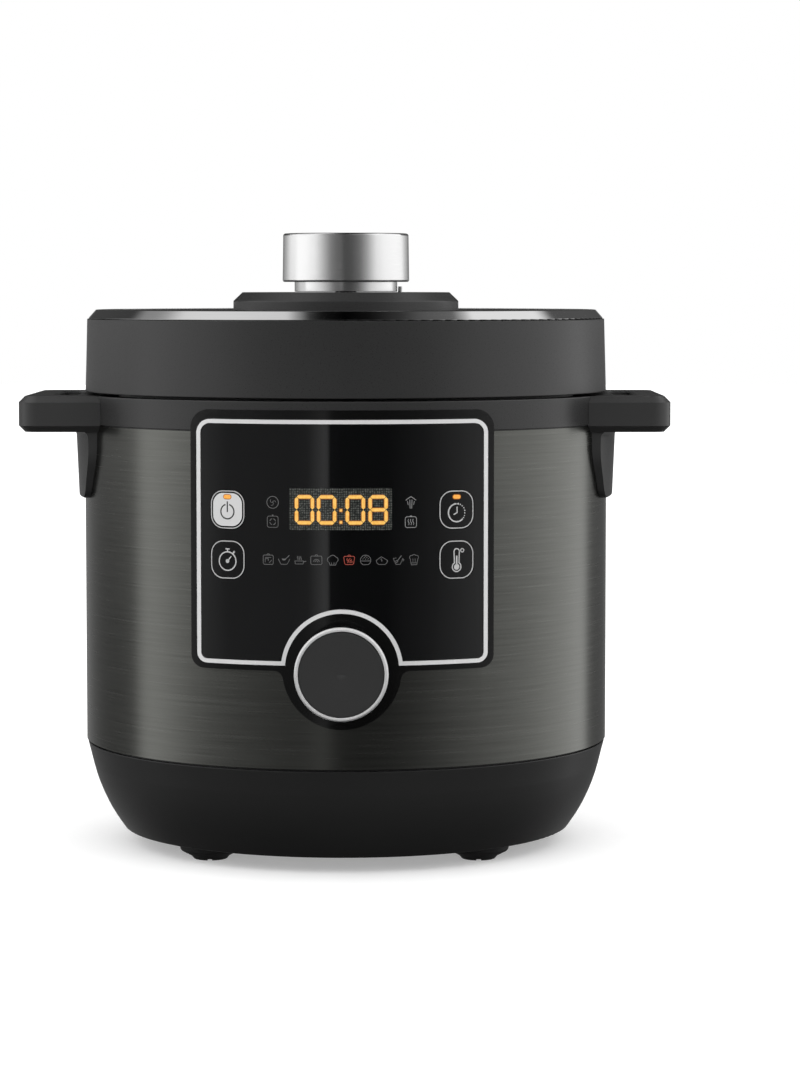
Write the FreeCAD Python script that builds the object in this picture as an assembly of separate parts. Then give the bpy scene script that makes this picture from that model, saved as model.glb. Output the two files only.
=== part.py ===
import FreeCAD, Part
import math
import os

# Electric pressure cooker: round body on four feet, bayonet lid with a central knob, front control panel.
# Millimetres. The axis of the pot is Z, the floor is z = 0 and the control panel faces -Y.

# --- driving dimensions -------------------------------------------------------------------------
BODY_R = 150.0            # outside of the steel body
BASE_BOTTOM = 8.9         # underside of the base, above the floor
BASE_TOP = 59.2           # upper edge of the black base shell
SHELL_BOTTOM = 60.4       # steel body, lower edge
SHELL_TOP = 241.4         # steel body, upper edge
RING_BOTTOM = 242.0       # black ring round the top of the body
RING_TOP = 258.1
LID_BOTTOM = 259.5
LID_SHOULDER = 301.0      # where the lid's bevelled trim ring starts
LID_TOP = 305.8
DISC_TOP = 316.0          # raised disc in the middle of the lid
KNOB_BOTTOM = 321.9
TOTAL_HEIGHT = 349.6
KNOB_INSIDE = TOTAL_HEIGHT - 3   # underside of the knob's top
SHEET = 0.8               # thickness of the steel body
WALL = 2.5                # usual thickness of the plastic mouldings
JOIN = 0.05               # gap between pieces of one assembly that are clipped together

HANDLE_X = 183.0          # outer face of a side handle
HANDLE_Y = 62.6           # half the length of a side handle
HANDLE_BOTTOM = 238.0

FRAME_R = 154.0           # front face of the panel's frame
GLASS_R = 153.7           # front face of the panel's glass
DIAL_Z = 114.5            # height of the dial's axis
DIAL_FRONT = -175.0
REAR = 175.0              # back of the condensate cup
KEY_ANGLE = 23.6          # angle of the key columns either side of the front
KEY_Z = (173.05, 200.0)   # heights of the two key rows

LUGS = 6                  # bayonet lugs
LUG_ARC = 24.0            # degrees taken by one lug
LOCK_TURN = 30.0          # degrees from open to locked
LUG_TIP_R = 124.4         # locking plate, tip of a lug
PLATE_R = 118.0           # locking plate, between the lugs
FLANGE_LUG_R = 120.5      # bayonet flange, tip of a lug

POT_R = 112.0
POT_RIM_R = 119.0
POT_BOTTOM = 80.0
POT_SHEET = 2.0           # thickness of the pot
POT_BEND = 16.0           # outer radius of the bend between wall and bottom
POT_TOP = 242.0
WELL_R = 117.0            # outside of the inner housing

VENT_Y = 48.0             # steam vent, behind the knob
FLOAT_X = 31.1            # pressure indicator pin, right of the knob's neck
FLOAT_R = 1.2
POST_RING_R = 80.0        # posts that carry the inner lid
POST_ANGLES = (30.0, 150.0, 270.0)
INLET_Z = 36.0            # centre of the mains inlet, at the back


def vector(x, y, z):
    return FreeCAD.Vector(x, y, z)


X_AXIS = vector(1, 0, 0)
Y_AXIS = vector(0, 1, 0)
Z_AXIS = vector(0, 0, 1)
ORIGIN = vector(0, 0, 0)


# --- outlines and simple solids -----------------------------------------------------------------
def outline(points):
    """Closed flat wire through (u, v) or (u, v, corner radius) points, as edges in the XY plane."""
    corners = []
    count = len(points)
    for i, point in enumerate(points):
        here = vector(point[0], point[1], 0)
        radius = point[2] if len(point) > 2 else 0
        if not radius:
            corners.append((here, None, here))
            continue
        before = points[i - 1]
        after = points[(i + 1) % count]
        to_before = (vector(before[0], before[1], 0) - here).normalize()
        to_after = (vector(after[0], after[1], 0) - here).normalize()
        half = to_before.getAngle(to_after) / 2
        start = here + to_before * (radius / math.tan(half))
        end = here + to_after * (radius / math.tan(half))
        bisector = (to_before + to_after).normalize()
        middle = here + bisector * (radius / math.sin(half) - radius)
        corners.append((start, middle, end))
    edges = []
    for i, (start, middle, end) in enumerate(corners):
        if middle is not None:
            edges.append(Part.Arc(start, middle, end).toShape())
        following = corners[(i + 1) % count][0]
        if (following - end).Length > 1e-6:
            edges.append(Part.makeLine(end, following))
    return Part.Wire(edges)


def revolved(points):
    """Solid of revolution about Z from (radius, height) points."""
    face = Part.Face(outline(points))
    face.rotate(ORIGIN, X_AXIS, 90)
    return face.revolve(ORIGIN, Z_AXIS, 360)


def prism_y(points, y0, y1):
    """Prism along Y from (x, z) points."""
    face = Part.Face(outline(points))
    face.rotate(ORIGIN, X_AXIS, 90)
    face.translate(vector(0, y0, 0))
    return face.extrude(vector(0, y1 - y0, 0))


def prism_z(points, z0, z1):
    """Prism along Z from (x, y) points."""
    face = Part.Face(outline(points))
    face.translate(vector(0, 0, z0))
    return face.extrude(vector(0, 0, z1 - z0))


def prism_x(points, x0, x1):
    """Prism along X from (y, z) points."""
    face = Part.Face(outline(points))
    face.rotate(ORIGIN, X_AXIS, 90)
    face.rotate(ORIGIN, Z_AXIS, 90)
    face.translate(vector(x0, 0, 0))
    return face.extrude(vector(x1 - x0, 0, 0))


def rectangle(u0, u1, v0, v1, low_radius=0.0, high_radius=None):
    high = low_radius if high_radius is None else high_radius
    return [(u0, v0, low_radius), (u1, v0, low_radius), (u1, v1, high), (u0, v1, high)]


def box(x0, x1, y0, y1, z0, z1):
    return Part.makeBox(x1 - x0, y1 - y0, z1 - z0, vector(x0, y0, z0))


def rod(radius, z0, z1, x=0.0, y=0.0):
    return Part.makeCylinder(radius, z1 - z0, vector(x, y, z0), Z_AXIS)


def rod_y(radius, y0, y1, x, z):
    return Part.makeCylinder(radius, y1 - y0, vector(x, y0, z), Y_AXIS)


def tube(outer, inner, z0, z1, x=0.0, y=0.0):
    return rod(outer, z0, z1, x, y).cut(rod(inner, z0 - 1, z1 + 1, x, y))


def tube_y(outer, inner, y0, y1, x, z):
    return rod_y(outer, y0, y1, x, z).cut(rod_y(inner, y0 - 1, y1 + 1, x, z))


def sector(inner, outer, z0, z1, angle0, angle1):
    """Part of a ring between two angles in degrees."""
    face = Part.Face(outline(rectangle(inner, outer, z0, z1)))
    face.rotate(ORIGIN, X_AXIS, 90)
    face.rotate(ORIGIN, Z_AXIS, angle0)
    return face.revolve(ORIGIN, Z_AXIS, angle1 - angle0)


def arc_slot(radius, half_width, z0, z1, angle0, angle1):
    """Curved slot with round ends."""
    slot = sector(radius - half_width, radius + half_width, z0, z1, angle0, angle1)
    for angle in (angle0, angle1):
        x, y = polar(radius, angle)
        slot = slot.fuse(rod(half_width, z0, z1, x, y))
    return slot


def polar(radius, angle):
    a = math.radians(angle)
    return radius * math.cos(a), radius * math.sin(a)


def turned(shape, angle):
    copy = shape.copy()
    copy.rotate(ORIGIN, Z_AXIS, angle)
    return copy


def mirrored_x(shape):
    return shape.mirror(ORIGIN, X_AXIS)


def fused(shapes):
    result = shapes[0]
    for shape in shapes[1:]:
        result = result.fuse(shape)
    return result.removeSplitter()


def save(name, *shapes):
    shape = shapes[0] if len(shapes) == 1 else Part.makeCompound(list(shapes))
    if not shape.isValid():
        raise RuntimeError(name + " is not a valid solid")
    shape.exportStep("parts/" + name + ".step")


# --- base ---------------------------------------------------------------------------------------
PLATE_OPENING_R = 88.2    # hole in the base that the bottom plate fills
FOOT_SPACING = 75.0       # feet at plus and minus this in X and Y


def base_shell():
    floor_top = BASE_BOTTOM + WALL
    shell = revolved([
        (149.5, BASE_TOP, 0.5),
        (141.5, 27.4, 100),
        (128.4, BASE_BOTTOM, 1.5),
        (PLATE_OPENING_R, BASE_BOTTOM),
        (PLATE_OPENING_R, floor_top),
        (82, floor_top),
        (82, floor_top + 2),
        (92, floor_top + 2),
        (92, floor_top),
        (126.9, floor_top),
        (138.9, 28.2, 97),
        (145.0, 52.0),
        (145.0, 69.0),
        (149.1, 69.0),
        (149.1, 61.5),
        (147.4, 61.5),
        (147.4, BASE_TOP),
    ])
    boss = prism_y(rectangle(-21, 21, INLET_Z - 16, INLET_Z + 16, 5), 118, 147.5)
    room = box(-18.5, 18.5, 110, 145, INLET_Z - 13.5, INLET_Z + 13.5)
    shell = shell.fuse(boss).cut(room)
    shell = shell.cut(box(-13.7, 13.7, 140, 150, INLET_Z - 10.1, INLET_Z + 10.1))
    for angle in range(0, 360, 60):
        x, y = polar(85, angle)
        shell = shell.cut(rod(1.7, floor_top - 1, floor_top + 3, x, y))
    for sx in (-1, 1):
        for sy in (-1, 1):
            shell = shell.cut(rod(3, BASE_BOTTOM - 1, BASE_BOTTOM + 4, sx * FOOT_SPACING, sy * FOOT_SPACING))
    return shell.removeSplitter()


def base_plate():
    top = BASE_BOTTOM + WALL
    plate = rod(PLATE_OPENING_R - 0.2, top - 2, top)
    for row in range(-3, 4):
        reach = 44 - 5 * abs(row)
        y = row * 9.0
        plate = plate.cut(prism_z(rectangle(-reach, -6, y - 1.7, y + 1.7, 1.6), top - 3, top + 1))
        plate = plate.cut(prism_z(rectangle(6, reach, y - 1.7, y + 1.7, 1.6), top - 3, top + 1))
    for angle in range(0, 360, 60):
        x, y = polar(85, angle)
        plate = plate.cut(rod(1.7, top - 3, top + 1, x, y))
    return plate


def base_screws():
    top = BASE_BOTTOM + WALL
    screws = []
    for angle in range(0, 360, 60):
        x, y = polar(85, angle)
        head = rod(2.6, top - 3.2, top - 2, x, y)
        screws.append(head.fuse(rod(1.7, top - 2, top + 2, x, y)).removeSplitter())
    return screws


def feet():
    """Four rubber feet, each with a cross-grooved pad and a peg pressed into the base."""
    foot = revolved([
        (0, 0), (9.2, 0, 0.8), (10.8, 1.9, 1.2), (16.8, 5.0, 2.4), (17.4, BASE_BOTTOM),
        (3, BASE_BOTTOM), (3, BASE_BOTTOM + WALL), (0, BASE_BOTTOM + WALL)])
    for groove in (box(-12, 12, -1.3, 1.3, -1, 0.9), box(-1.3, 1.3, -12, 12, -1, 0.9)):
        foot = foot.cut(groove)
    group = []
    for sx in (-1, 1):
        for sy in (-1, 1):
            copy = foot.copy()
            copy.translate(vector(sx * FOOT_SPACING, sy * FOOT_SPACING, 0))
            group.append(copy)
    return group


# --- body ---------------------------------------------------------------------------------------
WINDOW = (-74.5, 74.5, 126.5, 231.5)       # opening in the steel body behind the panel
SCREW_Y = 25.0                             # handle screws
SCREW_Z = 222.0
SCREW_TIP = 151.2                          # how far out the handle screws reach, in X
DRAIN_Z = 238.0                            # drain pipe where it leaves the body
DRAIN_Y = 136.0                            # drain hole in the gutter


def outer_shell():
    shell = tube(BODY_R, BODY_R - SHEET, SHELL_BOTTOM, SHELL_TOP)
    shell = shell.cut(prism_y(rectangle(*WINDOW, 6), -160, -100))
    shell = shell.cut(rod_y(10, -160, -130, 0, DIAL_Z))
    shell = shell.cut(rod_y(3.1, 140, 160, 0, DRAIN_Z))
    for y in (-SCREW_Y, SCREW_Y):
        shell = shell.cut(Part.makeCylinder(2.2, 2 * BODY_R + 20, vector(-BODY_R - 10, y, SCREW_Z), X_AXIS))
    return shell


def top_ring():
    ring = revolved([
        (BODY_R, RING_BOTTOM, 0.3),
        (BODY_R, RING_TOP, 0.6),
        (142.0, RING_TOP, 0.6),
        (139.4, 250.5),
        (131.6, 250.5),
        (130.6, 258.9),
        (128.0, 258.9),
        (128.0, 240.1),
        (132.4, 240.1),
        (132.4, 242.6),
        (130.4, 242.6),
        (130.4, 248.0),
        (140.9, 248.0),
        (143.6, 255.6),
        (147.0, 255.6),
        (147.0, 232.0),
        (149.0, 232.0),
        (149.0, RING_BOTTOM),
    ])
    ring = ring.cut(rod(2.4, 246, 252, 0, DRAIN_Y))
    ring = ring.cut(rod_y(3.1, 144, 152, 0, DRAIN_Z))
    for x, y in flange_screw_places():
        ring = ring.cut(rod(1.5, 239, 243, x, y))
    return ring


def handle():
    """Right-hand side handle: a bar round a slot, and a shield that lies on the steel body."""
    bar = prism_z(
        [(120, -HANDLE_Y), (HANDLE_X, -HANDLE_Y, 11), (HANDLE_X, HANDLE_Y, 11), (120, HANDLE_Y)],
        HANDLE_BOTTOM, RING_TOP)
    rim = [e for e in bar.Edges
           if abs(e.BoundBox.ZLength) < 0.01 and e.BoundBox.XMax > 121]
    bar = bar.makeChamfer(3.5, rim)
    slot = prism_z(rectangle(152.5, 165, -35, 35, 5), HANDLE_BOTTOM - 1, RING_TOP + 1)
    bar = bar.cut(slot)
    lips = [e for e in bar.Edges
            if e.BoundBox.ZLength < 0.01 and e.BoundBox.XMin > 152 and e.BoundBox.XMax < 165.1]
    bar = bar.makeChamfer(0.8, lips)
    wrap = revolved([(140, 199.8), (153.4, 199.8, 1.6), (154.9, 236, 3), (157.5, 239), (140, 239)])
    shield = prism_x(
        [(-58, 242), (-57, 224, 30), (-44, 199.8, 12), (44, 199.8, 12), (57, 224, 30), (58, 242)],
        120, 165)
    shield = shield.common(wrap)
    body = rod(BODY_R + JOIN, 190, 262)
    whole = bar.fuse(shield).cut(body).removeSplitter()
    for y in (-SCREW_Y, SCREW_Y):
        whole = whole.cut(Part.makeCylinder(2, SCREW_TIP - 141, vector(141, y, SCREW_Z), X_AXIS))
    return whole


def handle_screws():
    screws = []
    for y in (-SCREW_Y, SCREW_Y):
        shaft = Part.makeCylinder(2, SCREW_TIP - 145, vector(145, y, SCREW_Z), X_AXIS)
        head = Part.makeCylinder(3.6, 2.2, vector(142.8, y, SCREW_Z), X_AXIS)
        screw = shaft.fuse(head).removeSplitter()
        screws += [screw, mirrored_x(screw)]
    return screws


def drain_spout():
    """Pipe from the gutter in the top ring, through the body, to the condensate cup."""
    bend = 6.0
    end = 157.0
    corner = bend * (1 - math.cos(math.radians(45)))
    path = Part.Wire([
        Part.makeLine(vector(0, DRAIN_Y, 247.9), vector(0, DRAIN_Y, DRAIN_Z + bend)),
        Part.Arc(vector(0, DRAIN_Y, DRAIN_Z + bend),
                 vector(0, DRAIN_Y + corner, DRAIN_Z + corner),
                 vector(0, DRAIN_Y + bend, DRAIN_Z)).toShape(),
        Part.makeLine(vector(0, DRAIN_Y + bend, DRAIN_Z), vector(0, end, DRAIN_Z)),
    ])
    pipes = []
    for radius in (2.9, 2.1):
        mouth = Part.Wire(Part.makeCircle(radius, vector(0, DRAIN_Y, 247.9), Z_AXIS))
        pipes.append(path.makePipeShell([mouth], True, True))
    return pipes[0].cut(pipes[1])


def collector_bracket():
    plate = box(-28, 28, 140, 172, 232.4, 234.8)
    plate = plate.cut(rod(4.5, 230, 236, 0, 161))
    rails = []
    for side in (-1, 1):
        wall = box(26.4, 28, 140, 172, 226, 232.4)
        lip = box(24.6, 26.4, 140, 172, 226, 227.6)
        rail = wall.fuse(lip)
        rails.append(rail if side > 0 else mirrored_x(rail))
    frame = fused([plate] + rails)
    return frame.cut(rod(BODY_R + JOIN, 220, 240))


def collector_cup():
    outer = prism_z(rectangle(-24, 24, 140, REAR, 6), 196, 230)
    inner = prism_z(rectangle(-22.4, 22.4, 152.8, REAR - 1.6, 4.4), 197.6, 231)
    flange = box(-26, 26, 140, 170, 228, 230).cut(inner)
    cup = outer.cut(inner).fuse(flange)
    return cup.cut(rod(BODY_R + 0.6, 190, 240)).removeSplitter()


# --- cooking well -------------------------------------------------------------------------------
def flange_screw_places():
    return [polar(130.0, 15 + 60 * i) for i in range(LUGS)]


def inner_housing():
    well = revolved([
        (22, 62), (WELL_R, 62, 7), (WELL_R, 236.6, 1), (132, 236.6),
        (132, 237.6), (WELL_R - 1, 237.6, 1), (WELL_R - 1, 63, 6), (22, 63)])
    for x, y in flange_screw_places():
        well = well.cut(rod(1.5, 236, 238, x, y))
    for x in (-40, 40):
        well = well.cut(rod(5, 61, 64, x, -30))
    return well


def bayonet_flange():
    flange = revolved([
        (125, 237.6), (132, 237.6), (132, 240.1), (127.4, 240.1), (127.4, 255.1), (125, 255.1)])
    for i in range(LUGS):
        middle = 360 / LUGS * (i + 0.5)
        lug = sector(FLANGE_LUG_R, 125.5, 252.6, 255.1, middle - LUG_ARC / 2, middle + LUG_ARC / 2)
        flange = flange.fuse(lug)
    for x, y in flange_screw_places():
        flange = flange.cut(rod(1.5, 237, 241, x, y))
    return flange.removeSplitter()


def flange_screws():
    screws = []
    for x, y in flange_screw_places():
        head = rod(1.9, 234.9, 236.6, x, y)
        screws.append(head.fuse(rod(1.5, 236.6, 242.6, x, y)).removeSplitter())
    return screws


def insulation_sleeve():
    return tube(124, WELL_R + 1, 90, 225)


def heating_plate():
    plate = revolved([(13, 68), (82, 68, 2), (85, 80, 2), (13, 80)])
    for angle in (30, 150, 270):
        x, y = polar(60, angle)
        plate = plate.fuse(rod(6, 63, 69, x, y))
    for x in (-40, 40):
        plate = plate.fuse(rod(3, 50, 69, x, -30))
    return plate.removeSplitter()


def thermal_sensor():
    return revolved([(0, 58), (4, 58), (4, 72), (11.4, 72), (12, 79.7, 1), (0, 79.7)])


def sensor_spring():
    """Slotted spring tube under the sensor's head, round its stem: each row of slots is a quarter turn on."""
    outer, inner = 7.0, 5.9
    bottom, pitch, slot = 61.4, 1.7, 0.9
    rows = 5
    spring = tube(outer, inner, bottom, bottom + pitch * (rows + 1))
    for row in range(rows):
        low = bottom + pitch * (row + 1) - slot / 2
        for side in (0, 180):
            start = side + 90 * (row % 2)
            spring = spring.cut(sector(inner - 1, outer + 1, low, low + slot, start + 18, start + 162))
    return spring


def inner_pot():
    """Wall and rim of the pot."""
    inside = POT_R - POT_SHEET
    bend = POT_BOTTOM + POT_BEND
    return revolved([
        (POT_R, bend), (POT_R, 240, 1.2), (POT_RIM_R, 240, 0.9),
        (POT_RIM_R, POT_TOP, 0.9), (inside, POT_TOP, 2.4), (inside, bend)])


def pot_base():
    """Dished bottom of the pot, up to where its bend meets the wall."""
    inside = POT_R - POT_SHEET
    bend = POT_BOTTOM + POT_BEND
    return revolved([
        (0, POT_BOTTOM), (POT_R, POT_BOTTOM, POT_BEND - 0.01), (POT_R, bend), (inside, bend),
        (inside, POT_BOTTOM + POT_SHEET, POT_BEND - POT_SHEET - 0.01), (0, POT_BOTTOM + POT_SHEET)])


# --- lid ----------------------------------------------------------------------------------------
def lid_cover():
    cover = revolved([
        (149.6, LID_BOTTOM, 0.6),
        (148.4, LID_SHOULDER - JOIN, 0.4),
        (142.6, LID_SHOULDER - JOIN),
        (142.6, LID_TOP),
        (24, LID_TOP),
        (24, LID_TOP - WALL),
        (140.1, LID_TOP - WALL),
        (140.1, LID_SHOULDER - WALL),
        (145.9, LID_SHOULDER - WALL),
        (147.1, LID_BOTTOM),
    ])
    cover = cover.cut(rod(4.2, LID_TOP - 5, LID_TOP + 1, 0, VENT_Y))
    return cover.cut(rod(1.6, LID_TOP - 5, LID_TOP + 1, FLOAT_X, 0))


def lid_trim_ring():
    inside = 142.6 + JOIN
    return revolved([
        (147.9, LID_SHOULDER, 0.35), (143.4, 306.1, 0.5), (inside, 306.1), (inside, LID_SHOULDER)])


def lid_disc():
    disc = revolved([
        (64.7, LID_TOP), (64.7, 311, 1.0), (59.5, DISC_TOP, 1.0), (20, DISC_TOP, 0.5),
        (20, DISC_TOP - WALL), (58.4, DISC_TOP - WALL), (62.2, 309.9), (62.2, LID_TOP)])
    disc = disc.cut(rod(4.2, 305, 317, 0, VENT_Y))
    return disc.cut(rod(FLOAT_R + 0.05, 305, 317, FLOAT_X, 0))


def lid_liner():
    liner = tube(146.8, 10, LID_BOTTOM, LID_BOTTOM + 2)
    liner = liner.cut(rod(4.2, 258, 263, 0, VENT_Y))
    return liner.cut(rod(1.6, 258, 263, FLOAT_X, 0))


def spindle_bush():
    return tube(10, 6.05, 256, 266)


def inner_lid():
    lid = revolved([
        (0, 247), (117, 247), (117, 242.8), (118.5, 242.8), (118.5, 248.5, 1.2), (0, 248.5)])
    lid = lid.cut(rod(4, 246, 250, 0, VENT_Y))
    return lid.cut(rod(1.6, 246, 250, FLOAT_X, 0))


def lid_posts():
    return [rod(4, 248.5, LID_BOTTOM, *polar(POST_RING_R, angle)) for angle in POST_ANGLES]


def lid_gasket():
    return revolved([(109, 242.4, 0.9), (116.7, 242.4, 0.9), (116.7, 246.95), (109, 246.95, 0.9)])


def vent_pipe():
    return tube(4, 2, 245.5, 322, 0, VENT_Y)


def anti_block_shield():
    shield = revolved([(0, 238), (10, 238, 1.5), (10, 247), (9, 247), (9, 239, 0.8), (0, 239)])
    for angle in range(0, 360, 45):
        x, y = polar(9.5, angle)
        shield = shield.cut(rod(1.0, 240.5, 245, x, y))
    shield.translate(vector(0, VENT_Y, 0))
    return shield


def valve_weight():
    weight = revolved([(0, 317.5), (8.4, 317.5, 0.8), (9.5, 320, 1), (9.5, 329, 1.6), (0, 329)])
    weight.translate(vector(0, VENT_Y, 0))
    return weight.cut(rod(4.05, 317, 322.3, 0, VENT_Y))


def float_pin():
    pin = revolved([
        (0, 240.7), (4.5, 240.7, 0.5), (4.5, 243, 0.5), (FLOAT_R, 243), (FLOAT_R, 306.2),
        (2.6, 306.2), (2.6, 308), (FLOAT_R, 308), (FLOAT_R, 319.3, 0.4), (0, 319.3)])
    pin.translate(vector(FLOAT_X, 0, 0))
    return pin


# --- lock ---------------------------------------------------------------------------------------
def locking_plate():
    """Stamped plate under the lid. Its lugs turn under those of the bayonet flange."""
    z0, z1 = 250.2, 252.2
    plate = rod(PLATE_R, z0, z1)
    for i in range(LUGS):
        middle = 360 / LUGS * i
        plate = plate.fuse(sector(PLATE_R - 1, LUG_TIP_R, z0, z1, middle - LUG_ARC / 2, middle + LUG_ARC / 2))
    for angle in POST_ANGLES:
        plate = plate.cut(arc_slot(POST_RING_R, 5, z0 - 1, z1 + 1, angle - LOCK_TURN, angle))
    plate = plate.cut(arc_slot(VENT_Y, 5, z0 - 1, z1 + 1, 90 - LOCK_TURN, 90))
    return plate.cut(arc_slot(FLOAT_X, 2.2, z0 - 1, z1 + 1, -LOCK_TURN, 0)).removeSplitter()


def spindle():
    return revolved([(0, 252.2), (14, 252.2), (14, 255.2), (6, 255.2), (6, KNOB_INSIDE), (0, KNOB_INSIDE)])


def knob_neck():
    return revolved([
        (29.5, 316.3, 0.4), (29.5, KNOB_INSIDE), (6, KNOB_INSIDE), (6, 318), (10, 318),
        (10, KNOB_INSIDE - 3), (27, KNOB_INSIDE - 3), (27, 316.3)])


def knob_cap():
    return revolved([
        (36.4, KNOB_BOTTOM, 1.1), (36.0, TOTAL_HEIGHT, 1.4), (0, TOTAL_HEIGHT),
        (0, KNOB_INSIDE), (33.0, KNOB_INSIDE), (33.3, KNOB_BOTTOM, 0.5)])


# --- control panel ------------------------------------------------------------------------------
FRAME_BOX = (-81.8, 81.8, 113.9, 253.6)    # outline of the frame, seen from the front
TRIM_BOX = (-78.5, 78.5, 116.9, 248.5)     # outline of the bright line
TRIM_WIDTH = 2.2
LOBE_R = 32.0                              # round part of the frame behind the dial
TRIM_ARC_R = 30.6                          # inner radius of the bright line round the dial
DISPLAY_BOX = (-28.1, 26.9, 189.7, 212.3)
KEY_SIZE = 20.7
KEY_CORNER = 7.2
KEY_GAP = 0.22
FRONT_REACH = (-165, -110)                 # depth of the cutters, in Y


def inset(bounds, by):
    x0, x1, z0, z1 = bounds
    return x0 + by, x1 - by, z0 + by, z1 - by


def trim_area(by, arc_radius):
    """Area inside the bright line, moved in by a distance, without the round part at the dial."""
    area = prism_y(rectangle(*inset(TRIM_BOX, by), 5.5 - by, 7.5 - by), *FRONT_REACH)
    return area.cut(rod_y(arc_radius, -170, -100, 0, DIAL_Z))


def curved(area, inner, outer):
    """The part of a front-to-back prism that lies between two radii from the pot's axis."""
    return area.common(tube(outer, inner, 70, 262))


def radial_prism(points, side, r0, r1):
    """Prism along the key column's radius, from (across, height) points."""
    return turned(prism_y(points, -r1, -r0), side * KEY_ANGLE)


def key_outline(z, grow):
    half = KEY_SIZE / 2 + grow
    return rectangle(-half, half, z - half, z + half, KEY_CORNER + grow)


def panel_frame():
    outer = prism_y(rectangle(*FRAME_BOX, 7, 10), *FRONT_REACH)
    outer = outer.fuse(rod_y(LOBE_R, *FRONT_REACH, 0, DIAL_Z)).removeSplitter()
    corners = [e for e in outer.Edges
               if e.BoundBox.YLength > 50 and abs(e.BoundBox.ZMin - FRAME_BOX[2]) < 0.1
               and abs(e.BoundBox.XMin) < LOBE_R + 1]
    outer = outer.makeFillet(5, corners)
    face_layer = curved(outer, BODY_R + 0.1, FRAME_R)
    opening = trim_area(-JOIN, TRIM_ARC_R - JOIN)
    return face_layer.cut(opening).cut(rod_y(4.0, -170, -130, 0, DIAL_Z))


def panel_trim():
    band = trim_area(0, TRIM_ARC_R).cut(trim_area(TRIM_WIDTH, TRIM_ARC_R + TRIM_WIDTH))
    return curved(band, 151.6, FRAME_R + 0.3)


def panel_glass():
    glass = curved(trim_area(TRIM_WIDTH + JOIN, TRIM_ARC_R + TRIM_WIDTH + JOIN), 151.6, GLASS_R)
    glass = glass.cut(prism_y(rectangle(*DISPLAY_BOX, 1), *FRONT_REACH))
    for side in (-1, 1):
        for z in KEY_Z:
            glass = glass.cut(radial_prism(key_outline(z, KEY_GAP), side, 140, 160))
    return glass


def display_window():
    return curved(prism_y(rectangle(*inset(DISPLAY_BOX, JOIN), 1), *FRONT_REACH), 151.6, GLASS_R)


def display_module():
    x0, x1, z0, z1 = inset(DISPLAY_BOX, 1.5)
    return box(x0, x1, -148.4, -130, z0, z1)


def panel_carrier():
    outer = prism_y(rectangle(*inset(WINDOW, 0.5), 5.5), *FRONT_REACH)
    inner = prism_y(rectangle(*inset(WINDOW, 2.7), 3.3), *FRONT_REACH)
    ring = outer.cut(inner)
    return ring.common(rod(BODY_R + JOIN, 120, 240)).common(box(-80, 80, -160, -127, 120, 240))


def control_board():
    return prism_y(rectangle(-40, 40, 131, 227, 2), -130, -128.4)


def key_boards():
    return [radial_prism(rectangle(-12, 12, 160, 213, 1), side, 140, 141.6) for side in (-1, 1)]


def tact_switches():
    switches = []
    for side in (-1, 1):
        for z in KEY_Z:
            switches.append(radial_prism(rectangle(-3, 3, z - 3, z + 3, 0.5), side, 141.6, 145.6))
    return switches


def key(side, z):
    """Push key, flush with the glass, with a stem that reaches to its switch."""
    cap = radial_prism(key_outline(z, 0), side, 140, 160).common(tube(GLASS_R, 150.8, 150, 220))
    stem = turned(rod_y(2, -152, -146.6, 0, z), side * KEY_ANGLE)
    return cap.fuse(stem).removeSplitter()


# --- dial ---------------------------------------------------------------------------------------
def encoder_body():
    body = box(-7, 7, -139, -127.5, DIAL_Z - 7, DIAL_Z + 7)
    neck = rod_y(5.2, -149.6, -139, 0, DIAL_Z)
    body = body.fuse(neck).cut(rod_y(5.2, -138, -128.5, 0, DIAL_Z))
    return body.cut(rod_y(3.65, -151, -137, 0, DIAL_Z))


def encoder_plunger():
    """Sleeve that the dial's shaft turns in. It slides in the encoder's neck when the dial is pressed."""
    sleeve = rod_y(3.6, -156.7, -133, 0, DIAL_Z).fuse(rod_y(4.9, -136.5, -133, 0, DIAL_Z))
    return sleeve.cut(rod_y(3.05, -158, -130, 0, DIAL_Z)).removeSplitter()


def dial_shaft():
    return rod_y(3, -168, -131, 0, DIAL_Z)


def dial_body():
    skirt = tube_y(25, 22.5, DIAL_FRONT + 3, -157, 0, DIAL_Z)
    web = rod_y(25, DIAL_FRONT + 3, DIAL_FRONT + 5, 0, DIAL_Z)
    hub = rod_y(7, DIAL_FRONT + 4, -157, 0, DIAL_Z)
    return fused([skirt, web, hub]).cut(rod_y(3, -168, -150, 0, DIAL_Z))


def dial_face(points):
    """Turned piece on the dial, from (radius, distance behind the dial's front) points."""
    shape = revolved([(p[0], -p[1]) + tuple(p[2:]) for p in points])
    shape.rotate(ORIGIN, X_AXIS, 90)
    shape.translate(vector(0, DIAL_FRONT, DIAL_Z))
    return shape


def dial_ring():
    return dial_face([(23.0, 0.0, 0.3), (24.3, 0.0, 0.6), (25.05, 1.0, 0.3), (25.05, 3.0), (23.0, 3.0)])


def dial_cap():
    return dial_face([(0, 0.9), (22.2, 0.5, 3), (22.95, 0.9, 0.2), (22.95, 3.0), (0, 3.0)])


# --- electrics ----------------------------------------------------------------------------------
def inlet_housing():
    flange = prism_y(rectangle(-16, 16, INLET_Z - 12.5, INLET_Z + 12.5, 2), 147.5, 149.5)
    shroud = box(-13.5, 13.5, 127, 148, INLET_Z - 9.9, INLET_Z + 9.9)
    socket = prism_y(rectangle(-12, 12, INLET_Z - 8.2, INLET_Z + 8.2, 1.5, 4), 130, 150)
    body = flange.fuse(shroud).cut(socket)
    for x, z in inlet_pin_places():
        body = body.cut(box(x - 1, x + 1, 120, 131, z - 2, z + 2))
    return body.removeSplitter()


def inlet_pin_places():
    return [(-7, INLET_Z - 2), (7, INLET_Z - 2), (0, INLET_Z + 2)]


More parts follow.
